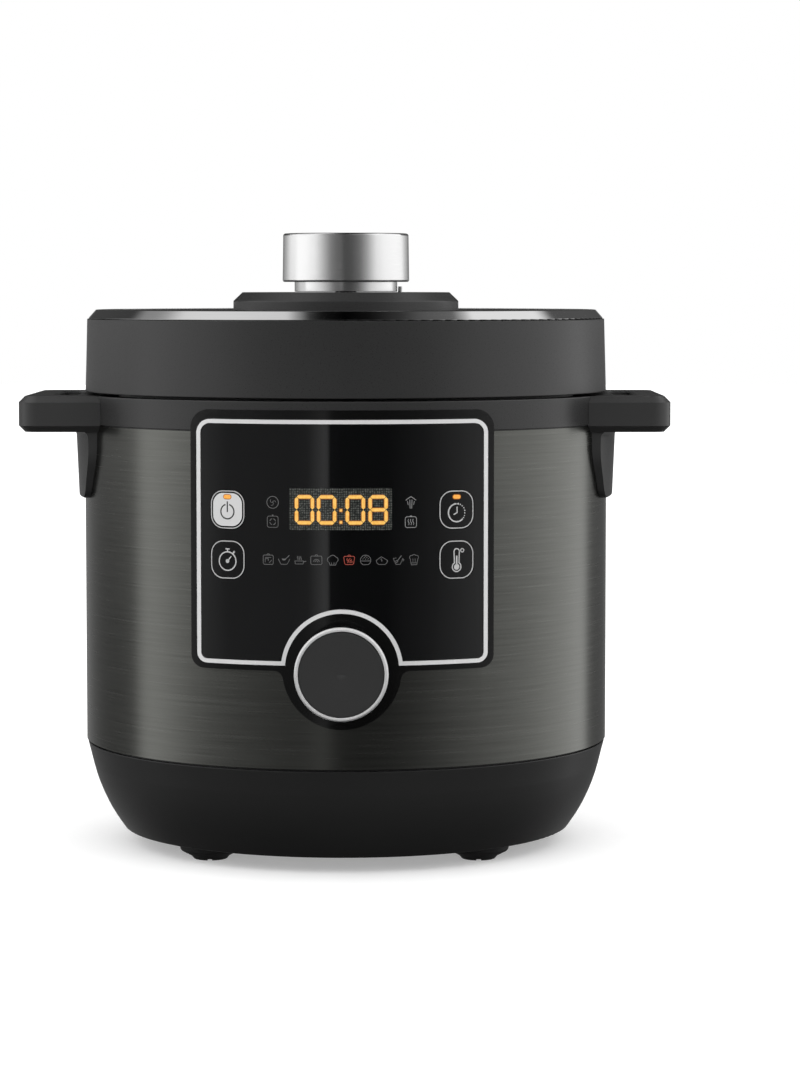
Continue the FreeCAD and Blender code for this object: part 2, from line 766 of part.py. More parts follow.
def inlet_pins():
    return [box(x - 1, x + 1, 122, 145, z - 2, z + 2) for x, z in inlet_pin_places()]


def power_board():
    board = box(-50, 50, 0, 70, 24, 25.6)
    for x in (-45, 45):
        for y in (5, 65):
            board = board.cut(rod(1.6, 23, 27, x, y))
    return board


def board_components():
    transformer = box(-40, -12, 12, 40, 25.6, 48)
    relay = box(2, 22, 12, 27, 25.6, 41)
    capacitor = rod(6, 25.6, 46, 34, 45)
    return [transformer, relay, capacitor]


# --- build --------------------------------------------------------------------------------------
def main():
    os.makedirs("parts", exist_ok=True)
    right_handle = handle()
    single = {
        "base_shell": base_shell(),
        "base_plate": base_plate(),
        "outer_shell": outer_shell(),
        "top_ring": top_ring(),
        "handle_right": right_handle,
        "handle_left": mirrored_x(right_handle),
        "drain_spout": drain_spout(),
        "collector_bracket": collector_bracket(),
        "collector_cup": collector_cup(),
        "inner_housing": inner_housing(),
        "bayonet_flange": bayonet_flange(),
        "insulation_sleeve": insulation_sleeve(),
        "heating_plate": heating_plate(),
        "thermal_sensor": thermal_sensor(),
        "sensor_spring": sensor_spring(),
        "inner_pot": inner_pot(),
        "pot_base": pot_base(),
        "lid_cover": lid_cover(),
        "lid_trim_ring": lid_trim_ring(),
        "lid_disc": lid_disc(),
        "lid_liner": lid_liner(),
        "spindle_bush": spindle_bush(),
        "inner_lid": inner_lid(),
        "lid_gasket": lid_gasket(),
        "vent_pipe": vent_pipe(),
        "anti_block_shield": anti_block_shield(),
        "valve_weight": valve_weight(),
        "float_pin": float_pin(),
        "locking_plate": locking_plate(),
        "spindle": spindle(),
        "knob_neck": knob_neck(),
        "knob_cap": knob_cap(),
        "panel_frame": panel_frame(),
        "panel_trim": panel_trim(),
        "panel_glass": panel_glass(),
        "display_window": display_window(),
        "display_module": display_module(),
        "panel_carrier": panel_carrier(),
        "control_board": control_board(),
        "key_power": key(-1, KEY_Z[1]),
        "key_timer": key(-1, KEY_Z[0]),
        "key_delay": key(1, KEY_Z[1]),
        "key_temperature": key(1, KEY_Z[0]),
        "encoder_body": encoder_body(),
        "encoder_plunger": encoder_plunger(),
        "dial_shaft": dial_shaft(),
        "dial_body": dial_body(),
        "dial_ring": dial_ring(),
        "dial_cap": dial_cap(),
        "inlet_housing": inlet_housing(),
        "power_board": power_board(),
    }
    groups = {
        "feet": feet(),
        "base_screws": base_screws(),
        "handle_screws": handle_screws(),
        "flange_screws": flange_screws(),
        "lid_posts": lid_posts(),
        "key_boards": key_boards(),
        "tact_switches": tact_switches(),
        "inlet_pins": inlet_pins(),
        "board_components": board_components(),
    }
    for name, shape in single.items():
        save(name, shape)
    for name, shapes in groups.items():
        save(name, *shapes)


main()
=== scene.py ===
import math

import bmesh
import bpy
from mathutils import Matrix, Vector


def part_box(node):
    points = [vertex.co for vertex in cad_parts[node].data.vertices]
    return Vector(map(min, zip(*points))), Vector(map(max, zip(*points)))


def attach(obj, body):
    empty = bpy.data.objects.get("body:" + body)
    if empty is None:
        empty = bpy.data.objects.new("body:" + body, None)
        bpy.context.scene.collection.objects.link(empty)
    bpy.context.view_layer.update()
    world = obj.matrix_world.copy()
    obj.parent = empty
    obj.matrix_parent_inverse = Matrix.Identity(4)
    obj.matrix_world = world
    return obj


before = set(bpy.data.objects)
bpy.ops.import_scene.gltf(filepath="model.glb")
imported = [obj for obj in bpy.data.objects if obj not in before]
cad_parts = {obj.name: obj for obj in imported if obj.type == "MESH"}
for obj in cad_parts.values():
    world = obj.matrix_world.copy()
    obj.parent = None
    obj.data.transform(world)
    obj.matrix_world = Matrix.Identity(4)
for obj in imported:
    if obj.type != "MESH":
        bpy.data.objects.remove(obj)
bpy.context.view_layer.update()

MM = 0.001                      # the art on the panel is drawn in millimetres


# ---------------------------------------------------------------- places taken from the frame

GLASS_R = -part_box("panel_glass")[0].y / MM        # front face of the glass
KEY_NODES = {"power_key": "key_power", "timer_key": "key_timer",
             "delay_key": "key_delay", "temperature_key": "key_temperature"}
KEY_ARC = math.radians(23.6) * GLASS_R            # key columns, measured round the glass
SMALL_ICON_ARC = math.radians(13.9) * GLASS_R     # small icons either side of the display


# ---------------------------------------------------------------- camera and studio

CAMERA_PLACE = (0.0311, -1.9584, 0.3199)
CAMERA_PITCH = 4.382            # degrees below the horizon
CAMERA_LENS = 112.0             # mm, on a sensor 36 mm wide
SENSOR_WIDTH = 36.0
CAMERA_REACH = 100.0
FLOOR_HALF = 9.0
FLOOR_GREY = (0.72, 0.76)       # the floor's pale mottle
FLOOR_GLOW = 0.45               # its own light, which keeps the shadow soft


def make_camera():
    data = bpy.data.cameras.new("camera")
    data.lens = CAMERA_LENS
    data.sensor_width = SENSOR_WIDTH
    data.clip_end = CAMERA_REACH
    camera = bpy.data.objects.new("camera", data)
    camera.location = CAMERA_PLACE
    camera.rotation_euler = (math.radians(90 - CAMERA_PITCH), 0, 0)
    bpy.context.scene.collection.objects.link(camera)
    bpy.context.scene.camera = camera


class Nodes:
    """A short way to write a node tree."""

    def __init__(self, tree):
        self.tree = tree

    def add(self, kind, inputs=None, **settings):
        node = self.tree.nodes.new("ShaderNode" + kind)
        for name, value in settings.items():
            setattr(node, name, value)
        for name, value in (inputs or {}).items():
            self.put(value, node.inputs[name])
        return node

    def put(self, value, socket):
        """A link from another node's output, or a fixed value on the socket itself."""
        if isinstance(value, bpy.types.NodeSocket):
            self.tree.links.new(value, socket)
        else:
            socket.default_value = value

    def math(self, operation, first, second=0.0, third=0.0):
        node = self.add("Math", operation=operation)
        for socket, value in zip(node.inputs, (first, second, third)):
            self.put(value, socket)
        return node.outputs[0]

    def ramp(self, factor, stops):
        """Stops are (place from 0 to 1, grey level or colour)."""
        node = self.add("ValToRGB", {"Fac": factor})
        elements = node.color_ramp.elements
        while len(elements) < len(stops):
            elements.new(1.0)
        for element, (place, level) in zip(elements, stops):
            element.position = place
            element.color = (level, level, level, 1) if isinstance(level, float) else (*level, 1)
        return node.outputs["Color"]

    def spread(self, factor, low, high, first=0.0, last=1.0):
        """Carries factor from the range first..last to the range low..high."""
        node = self.add("MapRange", {"Value": factor, "From Min": first, "From Max": last,
                                     "To Min": low, "To Max": high})
        return node.outputs["Result"]

    def mix(self, factor, first, second, blend="MIX"):
        node = self.add("Mix", data_type="RGBA", blend_type=blend)
        self.put(factor, node.inputs[0])
        self.put(first, node.inputs[6])
        self.put(second, node.inputs[7])
        return node.outputs[2]


# What the shiny surfaces see, as (degrees from the front, radiance); minus is to the camera's left.
# A soft box stands on each side. The lower part of each is masked to a narrower strip.
AROUND_LOW = ((-180, 0.40), (-155, 0.26), (-135, 0.15), (-120, 0.11), (-104, 0.11), (-99.5, 1.16),
              (-95, 1.20), (-88, 1.04), (-80, 0.78), (-72, 0.52), (-64, 0.28), (-50, 0.14),
              (-22, 0.12), (-15, 0.14), (-7.2, 0.42), (-6.4, 0.05), (0, 0.03), (18, 0.03), (34, 0.09),
              (47, 0.18), (64, 0.32), (84, 0.62), (104, 1.06), (124, 1.38), (130, 1.30),
              (134, 0.16), (160, 0.14), (180, 0.45))
AROUND_HIGH = ((-180, 0.15), (-160, 0.22), (-138, 0.55), (-121, 1.04), (-96, 1.20), (-76, 1.28),
               (-58, 1.16), (-42, 0.76), (-27, 0.26), (-12, 0.10), (12, 0.08), (27, 0.155),
               (42, 0.51), (58, 0.97), (76, 1.17), (100, 1.15), (120, 1.05), (134, 0.75),
               (158, 0.25), (180, 0.15))
LOW_BELOW, HIGH_ABOVE = -1.0, 0.0       # elevations where the two profiles hold
# What they see above, as (elevation, radiance): the tops of the boxes, with a gap overhead.
ABOVE_LEFT = ((0, 1.1), (20, 1.1), (34, 0.90), (60, 0.88), (74.5, 0.80), (76.4, 0.40),
              (78.5, 0.06), (81, 0.02), (90, 0.02))
ABOVE_RIGHT = ((0, 1.2), (20, 1.2), (34, 1.0), (59.2, 1.0), (61.0, 0.58), (63.8, 0.16), (71, 0.11),
               (75, 0.045), (79, 0.02), (90, 0.02))
# How far round the tops of the boxes reach, as (degrees from the front, share).
ABOVE_REACH = ((-180, 0.05), (-137, 0.06), (-132, 0.34), (-127, 0.37), (-123, 0.50), (-117, 0.97),
               (-112, 1.0), (-60, 1.0), (-40, 0.3), (0, 0.04), (40, 0.3), (60, 1.0), (130, 1.0),
               (135.5, 0.10), (180, 0.05))
ABOVE_FROM, ABOVE_TO = 2.0, 6.0         # elevations between which the tops take over
BELOW_FROM, BELOW_TO = -9.0, -24.0      # elevations between which the floor takes over
# What they see of the floor, as (degrees down, radiance): pale further out, shaded close by.
FLOOR_SEEN = ((0, 0.24), (24, 0.24), (40, 0.09), (60, 0.05), (90, 0.04))
# Light on matt surfaces: from above the horizon, in front and behind, and from below it.
SOFT_FRONT, SOFT_BACK, SOFT_BELOW = 1.65, 1.15, 0.04
FRONT_TO_BACK = 0.7             # how far forward and back that change runs, as a part of a whole
HORIZON_BLUR = 6.0              # degrees either side of the horizon
SIDE_BLUR = 0.02                # width of the join between the left and right boxes overhead


def round_stops(stops):
    """Stops round the compass, from -180 to 180 degrees, as places from 0 to 1."""
    return [((angle + 180) / 360, float(level)) for angle, level in stops]


def rising_stops(stops):
    """Stops up or down from the horizon, from 0 to 90 degrees, as places from 0 to 1."""
    return [(angle / 90, float(level)) for angle, level in stops]


def make_world():
    """A white room with two tall soft boxes that only the shiny surfaces see."""
    world = bpy.data.worlds.new("studio")
    bpy.context.scene.world = world
    world.use_nodes = True
    world.cycles.sampling_method = "NONE"
    tree = world.node_tree
    tree.nodes.clear()
    nodes = Nodes(tree)
    direction = nodes.add("TexCoord").outputs["Generated"]
    split = nodes.add("SeparateXYZ", {"Vector": direction}).outputs
    toward = nodes.math("MULTIPLY", split["Y"], -1.0)
    azimuth = nodes.math("ARCTAN2", split["X"], toward)
    height = nodes.math("ARCSINE", split["Z"])
    turn = nodes.spread(azimuth, 0.0, 1.0, -math.pi, math.pi)
    low, high, reach = (nodes.ramp(turn, round_stops(stops))
                        for stops in (AROUND_LOW, AROUND_HIGH, ABOVE_REACH))
    step = nodes.spread(height, 0.0, 1.0, math.radians(LOW_BELOW), math.radians(HIGH_ABOVE))
    around = nodes.mix(step, low, high)
    lift = nodes.spread(height, 0.0, 1.0, 0.0, math.pi / 2)
    left = nodes.ramp(lift, rising_stops(ABOVE_LEFT))
    right = nodes.ramp(lift, rising_stops(ABOVE_RIGHT))
    side = nodes.spread(split["X"], 0.0, 1.0, -SIDE_BLUR, SIDE_BLUR)
    above = nodes.mix(1.0, nodes.mix(side, left, right), reach, "MULTIPLY")
    rise = nodes.spread(height, 0.0, 1.0, math.radians(ABOVE_FROM), math.radians(ABOVE_TO))
    upper = nodes.mix(rise, around, above)
    drop = nodes.spread(height, 0.0, 1.0, 0.0, -math.pi / 2)
    floor = nodes.ramp(drop, rising_stops(FLOOR_SEEN))
    fall = nodes.spread(height, 0.0, 1.0, math.radians(BELOW_FROM), math.radians(BELOW_TO))
    shiny = nodes.add("Background", {"Color": nodes.mix(fall, upper, floor), "Strength": 1.0})
    path = nodes.add("LightPath")
    dome = nodes.spread(toward, SOFT_BACK, SOFT_FRONT, -FRONT_TO_BACK, FRONT_TO_BACK)
    blur = math.radians(HORIZON_BLUR)
    open_sky = nodes.spread(height, 0.0, 1.0, -blur, blur)
    soft = nodes.math("MULTIPLY_ADD", dome, open_sky, SOFT_BELOW)
    level = nodes.mix(path.outputs["Is Camera Ray"], soft, (1, 1, 1, 1))
    plain = nodes.add("Background", {"Color": level, "Strength": 1.0})
    glossy = path.outputs["Is Glossy Ray"]
    both = nodes.add("MixShader", {0: glossy})
    nodes.put(plain.outputs[0], both.inputs[1])
    nodes.put(shiny.outputs[0], both.inputs[2])
    output = nodes.add("OutputWorld")
    nodes.put(both.outputs[0], output.inputs["Surface"])


def make_floor():
    mesh = bpy.data.meshes.new("floor")
    corners = [(x * FLOOR_HALF, y * FLOOR_HALF, 0) for x, y in ((-1, -1), (1, -1), (1, 1), (-1, 1))]
    mesh.from_pydata(corners, [], [(0, 1, 2, 3)])
    floor = bpy.data.objects.new("floor", mesh)
    bpy.context.scene.collection.objects.link(floor)
    material, nodes, shader = new_material("floor_white")
    speck = noise(nodes, place(nodes), 40.0)
    pale = nodes.ramp(speck, [(0.0, FLOOR_GREY[0]), (1.0, FLOOR_GREY[1])])
    nodes.put(pale, shader.inputs["Base Color"])
    nodes.put(pale, shader.inputs["Emission Color"])
    nodes.put(FLOOR_GLOW, shader.inputs["Emission Strength"])
    nodes.put(0.9, shader.inputs["Roughness"])
    nodes.put(0.0, shader.inputs["Specular IOR Level"])
    mesh.materials.append(material)
    floor.visible_glossy = False
    floor.visible_diffuse = False


# ---------------------------------------------------------------- parts of a material

def new_material(name):
    material = bpy.data.materials.new(name)
    material.use_nodes = True
    return material, Nodes(material.node_tree), material.node_tree.nodes["Principled BSDF"]


def place(nodes):
    """Position on the object at rest, in metres."""
    return nodes.add("TexCoord").outputs["Object"]


def noise(nodes, vector, scale, detail=3.0, roughness=0.55):
    made = nodes.add("TexNoise", {"Vector": vector, "Scale": scale, "Detail": detail,
                                  "Roughness": roughness})
    return made.outputs["Fac"]


def stretched(nodes, x, y, z):
    """Position with each axis stretched, for grain that runs one way."""
    made = nodes.add("Mapping", {"Vector": place(nodes), "Scale": (x, y, z)})
    return made.outputs["Vector"]


def round_axis(nodes, across, along, radius=0.15):
    """Coordinates of grain that runs round the upright axis: slow round it, quick up it."""
    split = nodes.add("SeparateXYZ", {"Vector": place(nodes)}).outputs
    angle = nodes.math("ARCTAN2", split["X"], split["Y"])
    reach = nodes.add("VectorMath", {0: place(nodes)}, operation="MULTIPLY")
    reach.inputs[1].default_value = (1, 1, 0)
    out = nodes.add("VectorMath", {0: reach.outputs[0]}, operation="LENGTH").outputs["Value"]
    parts = nodes.add("CombineXYZ", {
        "X": nodes.math("MULTIPLY", angle, along * radius),
        "Y": nodes.math("MULTIPLY", out, across),
        "Z": nodes.math("MULTIPLY", split["Z"], across)})
    return parts.outputs[0]


def bump(nodes, shader, height, strength, distance=0.0001):
    made = nodes.add("Bump", {"Height": height, "Strength": strength, "Distance": distance})
    nodes.put(made.outputs["Normal"], shader.inputs["Normal"])


def plastic(name, dark, light, rough, spread=0.05, grain=2200.0, depth=0.10, specular=0.5):
    """Moulded plastic: a faint cloudiness in the colour and a fine eroded grain."""
    material, nodes, shader = new_material(name)
    cloud = noise(nodes, place(nodes), 9.0, 4.0)
    pores = noise(nodes, place(nodes), grain, 2.0)
    nodes.put(nodes.ramp(cloud, [(0.3, dark), (0.7, light)]), shader.inputs["Base Color"])
    nodes.put(nodes.spread(pores, rough - spread, rough + spread, 0.3, 0.7), shader.inputs["Roughness"])
    nodes.put(specular, shader.inputs["Specular IOR Level"])
    bump(nodes, shader, pores, depth)
    return material


def metal(name, dark, light, rough, spread, grain, depth=0.05, brush=None, shine=1.0):
    """Metal, or a metallic paint where shine is under 1, with its grain even or run by brush."""
    material, nodes, shader = new_material(name)
    vector = brush(nodes) if brush else place(nodes)
    fine = noise(nodes, vector, grain, 4.0, 0.65)
    broad = noise(nodes, place(nodes), 14.0, 3.0)
    level = nodes.math("MULTIPLY_ADD", broad, 0.25, nodes.math("MULTIPLY", fine, 0.75))
    nodes.put(nodes.ramp(level, [(0.3, dark), (0.7, light)]), shader.inputs["Base Color"])
    nodes.put(nodes.spread(fine, rough - spread, rough + spread, 0.3, 0.7), shader.inputs["Roughness"])
    nodes.put(shine, shader.inputs["Metallic"])
    bump(nodes, shader, fine, depth)
    return material


def paint_seam_shade(material, height):
    """Painted shade: darkens the lowest half millimetre of a ring, where it sits in its groove."""
    nodes, shader = Nodes(material.node_tree), material.node_tree.nodes["Principled BSDF"]
    colour = shader.inputs["Base Color"].links[0].from_socket
    up = nodes.add("SeparateXYZ", {"Vector": place(nodes)}).outputs["Z"]
    # painted shade: the ring's colour falls to a tenth along its lowest edge
    share = nodes.spread(up, 0.10, 1.0, height + 0.0002, height + 0.0007)
    nodes.put(nodes.mix(1.0, colour, share, "MULTIPLY"), shader.inputs["Base Color"])
    return material


# ---------------------------------------------------------------- the materials

def gunmetal_steel():
    """Dark coated steel, brushed round the body in long and short strokes."""
    material, nodes, shader = new_material("gunmetal_steel")
    long_strokes = noise(nodes, round_axis(nodes, 620.0, 6.0), 1.0, 4.0, 0.6)
    short_strokes = noise(nodes, round_axis(nodes, 1500.0, 30.0), 1.0, 3.0, 0.6)
    strokes = nodes.math("MULTIPLY_ADD", short_strokes, 0.45, nodes.math("MULTIPLY", long_strokes, 0.55))
    colour = nodes.ramp(strokes, [(0.30, (0.128, 0.130, 0.120)), (0.5, (0.152, 0.154, 0.143)),
                                  (0.70, (0.178, 0.180, 0.168))])
    nodes.put(colour, shader.inputs["Base Color"])
    nodes.put(nodes.spread(strokes, 0.22, 0.29, 0.3, 0.7), shader.inputs["Roughness"])
    nodes.put(1.0, shader.inputs["Metallic"])
    nodes.put(0.4, shader.inputs["Anisotropic"])
    nodes.put(0.25, shader.inputs["Anisotropic Rotation"])
    nodes.put(nodes.add("Tangent", direction_type="RADIAL", axis="Z").outputs[0], shader.inputs["Tangent"])
    bump(nodes, shader, strokes, 0.014)
    return material


def display_grey():
    """Smoked window over the display, with the fine dots of its filter."""
    material, nodes, shader = new_material("display_grey")
    dots = nodes.add("TexVoronoi", {"Vector": stretched(nodes, 1.0, 0.0, 1.0), "Scale": 800.0,
                                    "Randomness": 0.3}).outputs["Distance"]
    patches = noise(nodes, place(nodes), 420.0, 2.0)
    level = nodes.math("MULTIPLY_ADD", patches, 0.3, dots)
    colour = nodes.ramp(level, [(0.30, (0.145, 0.150, 0.140)), (0.52, (0.046, 0.049, 0.045)),
                                (0.80, (0.016, 0.018, 0.017))])
    nodes.put(colour, shader.inputs["Base Color"])
    nodes.put(nodes.spread(patches, 0.06, 0.12), shader.inputs["Roughness"])
    return material


def printed(name, dark, light, rough=0.45):
    """Screen-printed ink: slightly uneven in density."""
    material, nodes, shader = new_material(name)
    density = noise(nodes, place(nodes), 1400.0, 3.0)
    nodes.put(nodes.ramp(density, [(0.3, dark), (0.7, light)]), shader.inputs["Base Color"])
    nodes.put(nodes.spread(density, rough - 0.05, rough + 0.05), shader.inputs["Roughness"])
    bump(nodes, shader, density, 0.05, 0.00002)
    return material


def glowing(name, dark, light, strength):
    """Lit part of the display or a lamp, with the faint mottle of its diffuser."""
    material, nodes, shader = new_material(name)
    mottle = noise(nodes, place(nodes), 900.0, 2.0)
    colour = nodes.ramp(mottle, [(0.3, dark), (0.7, light)])
    nodes.put(nodes.mix(0.85, colour, (0, 0, 0, 1)), shader.inputs["Base Color"])
    nodes.put(colour, shader.inputs["Emission Color"])
    nodes.put(strength, shader.inputs["Emission Strength"])
    nodes.put(nodes.spread(mottle, 0.25, 0.35), shader.inputs["Roughness"])
    return material


def glass_black():
    """Smooth black glass with the faintest waviness."""
    material, nodes, shader = new_material("panel_black")
    wave = noise(nodes, place(nodes), 25.0, 2.0)
    haze = noise(nodes, place(nodes), 700.0, 3.0)
    nodes.put(nodes.ramp(wave, [(0.3, (0.0010, 0.0012, 0.0015)), (0.7, (0.0016, 0.0018, 0.0021))]),
              shader.inputs["Base Color"])
    nodes.put(nodes.spread(haze, 0.015, 0.03, 0.3, 0.7), shader.inputs["Roughness"])
    nodes.put(1.0, shader.inputs["Specular IOR Level"])
    bump(nodes, shader, wave, 0.02)
    return material


def circuit_green():
    """Solder mask over copper tracks."""
    material, nodes, shader = new_material("board_green")
    tracks = nodes.add("TexWave", {"Vector": place(nodes), "Scale": 90.0, "Distortion": 6.0,
                                   "Detail": 2.0}).outputs["Fac"]
    colour = nodes.ramp(tracks, [(0.35, (0.010, 0.070, 0.028)), (0.55, (0.022, 0.13, 0.05))])
    nodes.put(colour, shader.inputs["Base Color"])
    nodes.put(nodes.spread(tracks, 0.25, 0.40), shader.inputs["Roughness"])
    bump(nodes, shader, tracks, 0.1)
    return material


def speckled_coating():
    """Non-stick lining with pale flecks."""
    material, nodes, shader = new_material("pot_coating")
    flecks = nodes.add("TexVoronoi", {"Vector": place(nodes), "Scale": 420.0}).outputs["Distance"]
    sizes = noise(nodes, place(nodes), 260.0, 2.0)
    level = nodes.math("ADD", flecks, nodes.math("MULTIPLY", sizes, 0.5))
    colour = nodes.ramp(level, [(0.22, (0.22, 0.22, 0.22)), (0.30, (0.030, 0.030, 0.032)),
                                (1.0, (0.022, 0.022, 0.024))])
    nodes.put(colour, shader.inputs["Base Color"])
    nodes.put(nodes.spread(sizes, 0.34, 0.46), shader.inputs["Roughness"])
    bump(nodes, shader, sizes, 0.08)
    return material


def glass_wool():
    material, nodes, shader = new_material("insulation")
    fibres = noise(nodes, stretched(nodes, 1.0, 1.0, 6.0), 260.0, 6.0, 0.75)
    nodes.put(nodes.ramp(fibres, [(0.3, (0.55, 0.52, 0.42)), (0.7, (0.82, 0.79, 0.68))]),
              shader.inputs["Base Color"])
    nodes.put(nodes.spread(fibres, 0.85, 0.95), shader.inputs["Roughness"])
    bump(nodes, shader, fibres, 0.5, 0.001)
    return material


def steel_brush(nodes):
    return round_axis(nodes, 1.0, 0.03)


def make_materials():
    return {
        "black_satin": plastic("black_satin", 0.026, 0.031, 0.31, specular=0.45),
        "base_satin": plastic("base_satin", 0.016, 0.019, 0.33, specular=0.36),
        "handle_satin": plastic("handle_satin", 0.036, 0.041, 0.34),
        "gunmetal_steel": gunmetal_steel(),
        # the bevel ring gets a painted shade line along its lower edge
        "bevel_chrome": paint_seam_shade(
            metal("bevel_chrome", 0.68, 0.74, 0.07, 0.01, 1500.0, 0.01, steel_brush),
            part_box("lid_trim_ring")[0].z),
        "gloss_black": plastic("gloss_black", 0.0030, 0.0045, 0.12, 0.03, 600.0, 0.01),
        "panel_black": glass_black(),
        "trim_silver": metal("trim_silver", 0.86, 0.92, 0.24, 0.04, 900.0, 0.02, shine=0.2),
        "knob_silver": metal("knob_silver", 0.80, 0.86, 0.17, 0.03, 1500.0, 0.01, steel_brush),
        "ring_silver": metal("ring_silver", 0.66, 0.74, 0.30, 0.04, 1200.0, 0.02, shine=0.25),
        "dial_grey": plastic("dial_grey", 0.028, 0.032, 0.60, 0.05, 1800.0, 0.12),
        "key_white": plastic("key_white", 0.70, 0.78, 0.40, 0.04, 1400.0, 0.05),
        "display_grey": display_grey(),
        "stainless": metal("stainless", 0.48, 0.60, 0.26, 0.06, 1200.0, 0.05, steel_brush),
        "pot_coating": speckled_coating(),
        "well_aluminium": metal("well_aluminium", 0.55, 0.66, 0.38, 0.06, 700.0, 0.06, steel_brush),
        "heater_cast": metal("heater_cast", 0.34, 0.46, 0.50, 0.08, 500.0, 0.20),
        "silicone": plastic("silicone", 0.40, 0.46, 0.50, 0.05, 900.0, 0.06),
        "foot_rubber": plastic("foot_rubber", 0.012, 0.018, 0.70, 0.06, 1200.0, 0.20),
        "board_green": circuit_green(),
        "component_dark": plastic("component_dark", 0.014, 0.022, 0.45, 0.06, 1500.0, 0.10),
        "white_nylon": plastic("white_nylon", 0.66, 0.74, 0.42, 0.04, 1200.0, 0.06),
        "brass": metal("brass", (0.52, 0.36, 0.14), (0.68, 0.50, 0.22), 0.28, 0.05, 900.0),
        "insulation": glass_wool(),
    }


# Nodes whose finish differs from that of their slot.
OWN_FINISH = {"base_shell": "base_satin", "handle_left": "handle_satin", "handle_right": "handle_satin",
              **{node: "panel_black" for node in KEY_NODES.values()}}


def dress_nodes(materials):
    """Every CAD piece takes the finished material of its slot, or its own."""
    for name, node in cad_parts.items():
        for slot in node.material_slots:
            slot.material = materials[OWN_FINISH.get(name, slot.material.name.split(".")[0])]


# ---------------------------------------------------------------- line art on the curved panel

class Art:
    """Thin raised shapes drawn flat, in millimetres, then laid on the curved front of the panel.

    The first coordinate runs round the glass from its middle line, the second is the height.
    """

    SINK = 0.05             # how far the art reaches into the glass
    STEP = 1.5              # widest strip that stays flat

    def __init__(self, centre=(0.0, 0.0), lift=0.06):
        self.mesh = bmesh.new()
        self.centre = centre
        self.lift = lift

    def area(self, points):
        """A filled outline, given in order."""
        across, up = self.centre
        low = [self.mesh.verts.new((across + x, 0.0, up + z)) for x, z in points]
        high = [self.mesh.verts.new((across + x, 1.0, up + z)) for x, z in points]
        self.mesh.faces.new(low)
        self.mesh.faces.new(list(reversed(high)))
        self.walls(low, high)

    def walls(self, low, high):
        count = len(low)
        for i in range(count):
            j = (i + 1) % count
            self.mesh.faces.new((low[j], low[i], high[i], high[j]))

    def line(self, points, width, closed=False):
        """A stroke of even width through the points."""
        left, right = offset(points, width / 2, closed), offset(points, -width / 2, closed)
        if not closed:
            self.area(left + right[::-1])
            return
        rings = []
        across, up = self.centre
        for side in (left, right):
            for depth in (0.0, 1.0):
                rings.append([self.mesh.verts.new((across + x, depth, up + z)) for x, z in side])
        outer_low, outer_high, inner_low, inner_high = rings
        for first, second in ((outer_low, outer_high), (outer_high, inner_high),
                              (inner_high, inner_low), (inner_low, outer_low)):
            self.walls(first, second)

    def dot(self, x, z, radius):
        self.area(arc(x, z, radius, 0, 360, 14)[:-1])

    def finish(self, name, material, body, slot):
        """Cuts the art into strips, wraps it round the glass and lets it ride on a body."""
        mesh = self.mesh
        sides = [v.co.x for v in mesh.verts]
        first, last = math.floor(min(sides) / self.STEP), math.ceil(max(sides) / self.STEP)
        for k in range(first, last + 1):
            everything = mesh.verts[:] + mesh.edges[:] + mesh.faces[:]
            bmesh.ops.bisect_plane(mesh, geom=everything, dist=1e-5,
                                   plane_co=(k * self.STEP, 0, 0), plane_no=(1, 0, 0))
        for vert in mesh.verts:
            radius = GLASS_R - self.SINK + vert.co.y * (self.lift + self.SINK)
            turn = vert.co.x / GLASS_R
            vert.co = Vector((radius * math.sin(turn), -radius * math.cos(turn), vert.co.z)) * MM
        bmesh.ops.recalc_face_normals(mesh, faces=mesh.faces[:])
        data = bpy.data.meshes.new(name)
        mesh.to_mesh(data)
        mesh.free()
        data.materials.append(material)
        piece = bpy.data.objects.new(name, data)
        bpy.context.scene.collection.objects.link(piece)
        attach(piece, body)
        return piece


def offset(points, distance, closed):
    """The same path moved sideways, with mitred corners."""
    count = len(points)
    moved = []
    for i, (x, z) in enumerate(points):
        before = points[i - 1] if closed or i > 0 else None
        after = points[(i + 1) % count] if closed or i < count - 1 else None
        normals = []
        for (ax, az), (bx, bz) in ((before or points[i], points[i]), (points[i], after or points[i])):
            run = math.hypot(bx - ax, bz - az)
            if run > 0:
                normals.append((-(bz - az) / run, (bx - ax) / run))
        nx = sum(n[0] for n in normals) / len(normals)
        nz = sum(n[1] for n in normals) / len(normals)
        shrink = max(nx * nx + nz * nz, 0.3)
        moved.append((x + distance * nx / shrink, z + distance * nz / shrink))
    return moved


def arc(x, z, radius, start, end, steps=24):
    """Points on an arc, angles in degrees from the right, anticlockwise."""
    angles = [math.radians(start + (end - start) * i / steps) for i in range(steps + 1)]
    return [(x + radius * math.cos(a), z + radius * math.sin(a)) for a in angles]


def rounded(width, height, radius, x=0.0, z=0.0, steps=8):
    """Outline of a box with round corners."""
    points = []
    for sx, sz, start in ((1, 1, 0), (-1, 1, 90), (-1, -1, 180), (1, -1, 270)):
        cx, cz = x + sx * (width / 2 - radius), z + sz * (height / 2 - radius)
        points += arc(cx, cz, radius, start, start + 90, steps)
    return points


def wavy(x, bottom, top, swing):
    """A rising line of steam."""
    steps = 10
    return [(x + swing * math.sin(2 * math.pi * i / steps), bottom + (top - bottom) * i / steps)
            for i in range(steps + 1)]


# Small pictograms. Each draws round the art's centre, about 6 mm across.
THIN = 0.28


def pot_outline(art, width=5.6, height=4.6, taper=0.0):
    """A lidded pot seen from the side, with its knob."""
    top, bottom = height / 2, -height / 2
    half = width / 2
    art.line([(-half, top - 0.5), (-half + 0.5, top), (half - 0.5, top), (half, top - 0.5),
              (half - taper, bottom + 0.6), (half - taper - 0.6, bottom),
              (-half + taper + 0.6, bottom), (-half + taper, bottom + 0.6)], THIN, closed=True)
    art.line([(-0.8, top + 0.15), (-0.4, top + 0.65), (0.4, top + 0.65), (0.8, top + 0.15)], THIN)


